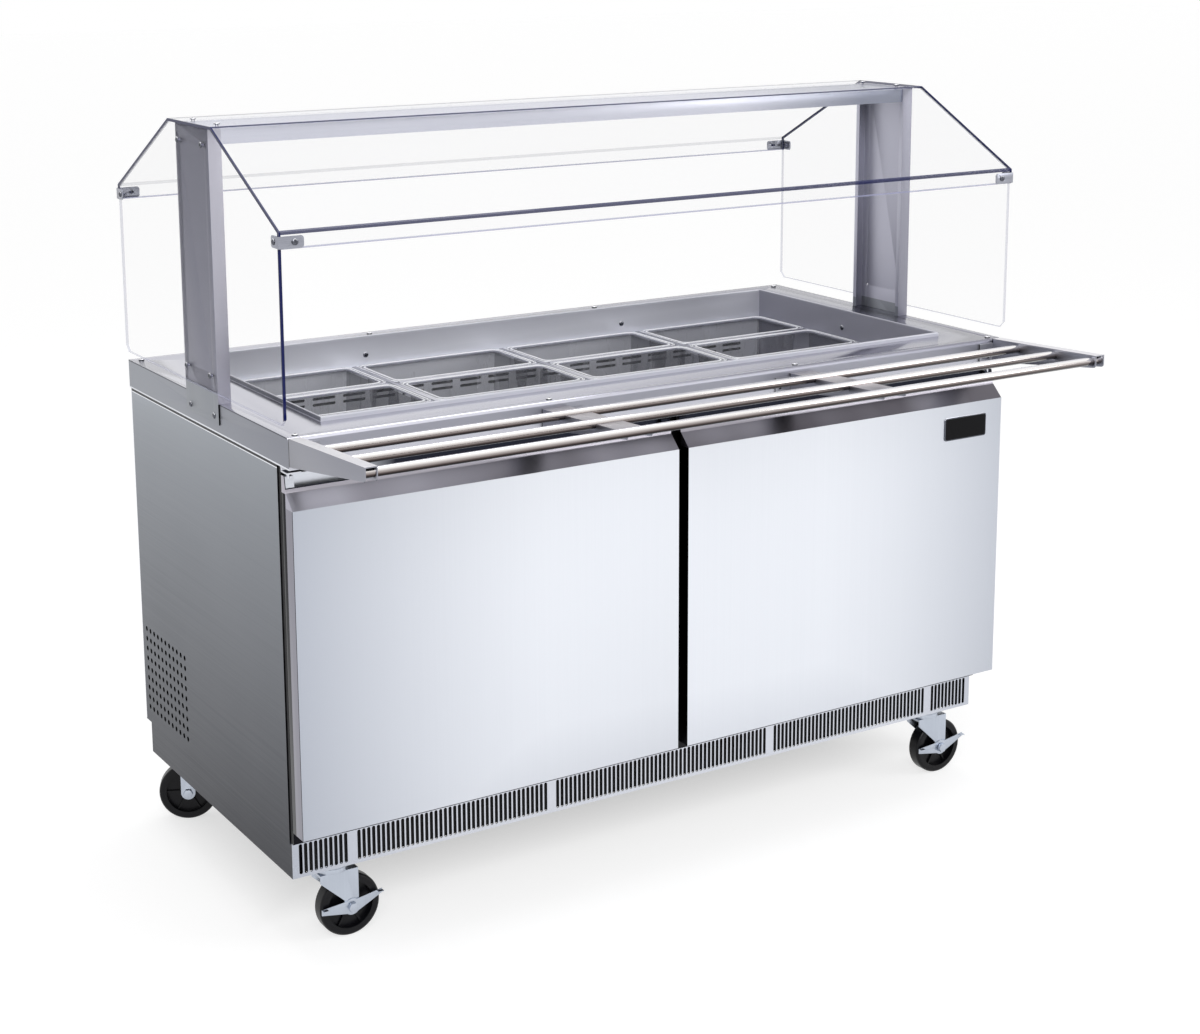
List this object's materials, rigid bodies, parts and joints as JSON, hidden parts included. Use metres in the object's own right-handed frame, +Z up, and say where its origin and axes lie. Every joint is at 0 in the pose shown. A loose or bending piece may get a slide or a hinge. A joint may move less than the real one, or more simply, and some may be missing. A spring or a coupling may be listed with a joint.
{
  "type": "refrigerated salad bar",
  "caption": "Mobile refrigerated salad bar: insulated cabinet with swing doors, lift-out pans under a clear guard, tray slide and swivel casters.",
  "frame": {"origin": "on the floor, under the middle of the whole footprint with the tray slide", "axes": "+Z up, -Y towards the customer side with the doors and the tray slide, +X to the right of someone facing the doors"},
  "size_m": [1.56, 1.027, 1.4145],
  "materials": {
    "body_steel": "satin",
    "grille_steel": "satin",
    "counter_steel": "satin",
    "door_steel": "satin",
    "insulation": "matte",
    "door_insulation": "matte",
    "liner_aluminium": "satin",
    "black_plastic": "matte",
    "gasket_rubber": "matte",
    "coil_aluminium": "satin",
    "compressor_paint": "satin",
    "shelf_wire": "satin",
    "bracket_steel": "satin",
    "tube_steel": "polished",
    "screw_steel": "polished",
    "post_aluminium": "satin",
    "clear_sheet": "gloss",
    "caster_zinc": "satin",
    "wheel_black": "satin",
    "pan_clear": "gloss"
  },
  "bodies": {
    "cabinet": {"base_frame": "body_steel", "side_panel_left": "body_steel", "side_panel_right": "body_steel", "kick_grille": "grille_steel", "back_panel": "body_steel", "rear_grille": "body_steel", "foam_core": "insulation", "cabinet_liner": "liner_aluminium", "front_frame": "black_plastic", "counter_top": "counter_steel", "well_liner": "counter_steel", "divider_bars": "counter_steel", "evaporator": "coil_aluminium", "compressor": "compressor_paint", "condenser": "coil_aluminium", "wire_shelves": "shelf_wire", "shelf_supports": "bracket_steel", "hinge_plates": "bracket_steel", "dome_screws": "screw_steel", "guard_post_left": "post_aluminium", "guard_post_right": "post_aluminium", "guard_beam": "post_aluminium", "guard_roof": "clear_sheet", "guard_end_left": "clear_sheet", "guard_end_right": "clear_sheet", "guard_clips": "bracket_steel", "tray_brackets": "bracket_steel", "tray_tubes": "tube_steel", "caster_plates": "caster_zinc"},
    "condenser_fan": {"condenser_fan": "black_plastic"},
    "door_left": {"door_skin_left": "door_steel", "door_core_left": "door_insulation", "door_gasket_left": "gasket_rubber", "door_grip_left": "door_steel"},
    "door_right": {"door_skin_right": "door_steel", "door_core_right": "door_insulation", "door_gasket_right": "gasket_rubber", "door_grip_right": "door_steel"},
    "caster_fork_fl": {"caster_fork_fl": "caster_zinc"},
    "caster_wheel_fl": {"caster_wheel_fl": "wheel_black"},
    "caster_fork_fr": {"caster_fork_fr": "caster_zinc"},
    "caster_wheel_fr": {"caster_wheel_fr": "wheel_black"},
    "caster_fork_bl": {"caster_fork_bl": "caster_zinc"},
    "caster_wheel_bl": {"caster_wheel_bl": "wheel_black"},
    "caster_fork_br": {"caster_fork_br": "caster_zinc"},
    "caster_wheel_br": {"caster_wheel_br": "wheel_black"},
    "brake_lever_fl": {"brake_lever_fl": "caster_zinc"},
    "brake_lever_fr": {"brake_lever_fr": "caster_zinc"},
    "pan_a1": {"pan_a1": "pan_clear"},
    "pan_a2": {"pan_a2": "pan_clear"},
    "pan_a3": {"pan_a3": "pan_clear"},
    "pan_a4": {"pan_a4": "pan_clear"},
    "pan_b1": {"pan_b1": "pan_clear"},
    "pan_b2": {"pan_b2": "pan_clear"},
    "pan_b3": {"pan_b3": "pan_clear"},
    "pan_b4": {"pan_b4": "pan_clear"},
    "pan_c1": {"pan_c1": "pan_clear"},
    "pan_c2": {"pan_c2": "pan_clear"},
    "pan_c3": {"pan_c3": "pan_clear"},
    "pan_c4": {"pan_c4": "pan_clear"}
  },
  "joints": [
    {"name": "condenser_fan_spin", "type": "hinge", "parent": "cabinet", "child": "condenser_fan", "pos_m": [-0.699, 0.3895, 0.3175], "axis": [1, 0, 0], "continuous": true},
    {"name": "door_left_swing", "type": "hinge", "parent": "cabinet", "child": "door_left", "pos_m": [-0.7585, -0.2045, 0.5495], "axis": [0, 0, -1], "range_deg": [0, 110]},
    {"name": "door_right_swing", "type": "hinge", "parent": "cabinet", "child": "door_right", "pos_m": [0.7585, -0.2045, 0.5495], "axis": [0, 0, 1], "range_deg": [0, 110]},
    {"name": "caster_swivel_fl", "type": "hinge", "parent": "cabinet", "child": "caster_fork_fl", "pos_m": [-0.674, -0.1415, 0.1245], "axis": [0, 0, 1], "continuous": true},
    {"name": "caster_roll_fl", "type": "hinge", "parent": "caster_fork_fl", "child": "caster_wheel_fl", "pos_m": [-0.646, -0.1415, 0.057], "axis": [0, 1, 0], "continuous": true},
    {"name": "brake_press_fl", "type": "hinge", "parent": "caster_fork_fl", "child": "brake_lever_fl", "pos_m": [-0.646, -0.16255, 0.057], "axis": [0, 1, 0], "range_deg": [0, 15]},
    {"name": "caster_swivel_fr", "type": "hinge", "parent": "cabinet", "child": "caster_fork_fr", "pos_m": [0.674, -0.1415, 0.1245], "axis": [0, 0, 1], "continuous": true},
    {"name": "caster_roll_fr", "type": "hinge", "parent": "caster_fork_fr", "child": "caster_wheel_fr", "pos_m": [0.702, -0.1415, 0.057], "axis": [0, 1, 0], "continuous": true},
    {"name": "brake_press_fr", "type": "hinge", "parent": "caster_fork_fr", "child": "brake_lever_fr", "pos_m": [0.702, -0.16255, 0.057], "axis": [0, 1, 0], "range_deg": [0, 15]},
    {"name": "caster_swivel_bl", "type": "hinge", "parent": "cabinet", "child": "caster_fork_bl", "pos_m": [-0.674, 0.4625, 0.1245], "axis": [0, 0, 1], "continuous": true},
    {"name": "caster_roll_bl", "type": "hinge", "parent": "caster_fork_bl", "child": "caster_wheel_bl", "pos_m": [-0.69938, 0.47433, 0.057], "axis": [-0.4226, -0.9063, 0], "continuous": true},
    {"name": "caster_swivel_br", "type": "hinge", "parent": "cabinet", "child": "caster_fork_br", "pos_m": [0.674, 0.4625, 0.1245], "axis": [0, 0, 1], "continuous": true},
    {"name": "caster_roll_br", "type": "hinge", "parent": "caster_fork_br", "child": "caster_wheel_br", "pos_m": [0.69938, 0.47433, 0.057], "axis": [-0.4226, 0.9063, 0], "continuous": true},
    {"name": "pan_a1_lift", "type": "slide", "parent": "cabinet", "child": "pan_a1", "axis": [0, 0, 1], "range_m": [0, 0.2]},
    {"name": "pan_a2_lift", "type": "slide", "parent": "cabinet", "child": "pan_a2", "axis": [0, 0, 1], "range_m": [0, 0.2]},
    {"name": "pan_a3_lift", "type": "slide", "parent": "cabinet", "child": "pan_a3", "axis": [0, 0, 1], "range_m": [0, 0.2]},
    {"name": "pan_a4_lift", "type": "slide", "parent": "cabinet", "child": "pan_a4", "axis": [0, 0, 1], "range_m": [0, 0.2]},
    {"name": "pan_b1_lift", "type": "slide", "parent": "cabinet", "child": "pan_b1", "axis": [0, 0, 1], "range_m": [0, 0.2]},
    {"name": "pan_b2_lift", "type": "slide", "parent": "cabinet", "child": "pan_b2", "axis": [0, 0, 1], "range_m": [0, 0.2]},
    {"name": "pan_b3_lift", "type": "slide", "parent": "cabinet", "child": "pan_b3", "axis": [0, 0, 1], "range_m": [0, 0.2]},
    {"name": "pan_b4_lift", "type": "slide", "parent": "cabinet", "child": "pan_b4", "axis": [0, 0, 1], "range_m": [0, 0.2]},
    {"name": "pan_c1_lift", "type": "slide", "parent": "cabinet", "child": "pan_c1", "axis": [0, 0, 1], "range_m": [0, 0.2]},
    {"name": "pan_c2_lift", "type": "slide", "parent": "cabinet", "child": "pan_c2", "axis": [0, 0, 1], "range_m": [0, 0.2]},
    {"name": "pan_c3_lift", "type": "slide", "parent": "cabinet", "child": "pan_c3", "axis": [0, 0, 1], "range_m": [0, 0.2]},
    {"name": "pan_c4_lift", "type": "slide", "parent": "cabinet", "child": "pan_c4", "axis": [0, 0, 1], "range_m": [0, 0.2]}
  ]
}
